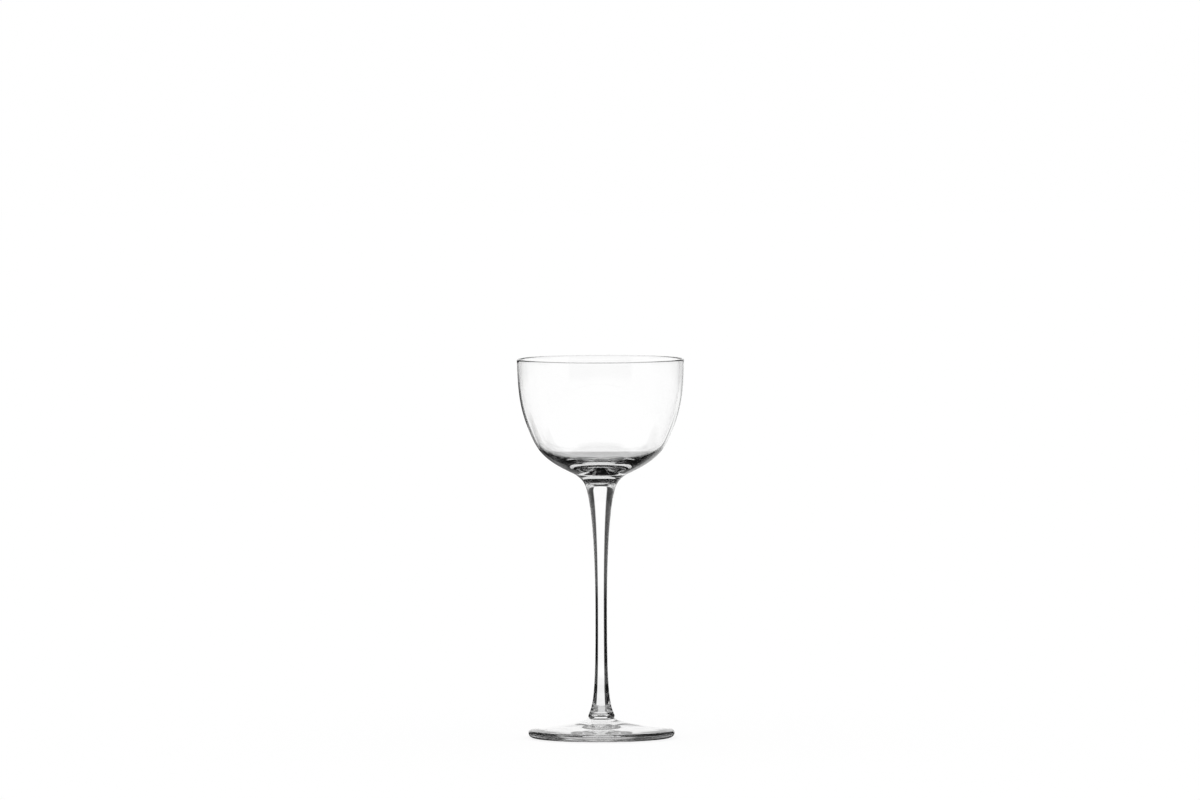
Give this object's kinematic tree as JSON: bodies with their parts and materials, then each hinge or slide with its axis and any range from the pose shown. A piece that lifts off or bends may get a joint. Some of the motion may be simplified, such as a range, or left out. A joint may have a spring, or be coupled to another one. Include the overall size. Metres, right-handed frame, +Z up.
{
  "type": "stemmed cocktail glass",
  "caption": "Small stemmed cocktail glass: a deep tulip bowl with upright walls and a thick base on a slim drawn stem and a low round foot, all in clear glass.",
  "frame": {"origin": "centre of the foot, on the table that the glass stands on", "axes": "+Z up along the axis of the glass, from the foot to the rim; the glass is round, so +X and +Y are any level directions"},
  "size_m": [0.0706, 0.0706, 0.16],
  "materials": {
    "clear_glass": "fire polished"
  },
  "bodies": {
    "root": {"bowl": "clear_glass", "stem": "clear_glass", "foot": "clear_glass"}
  },
  "joints": []
}
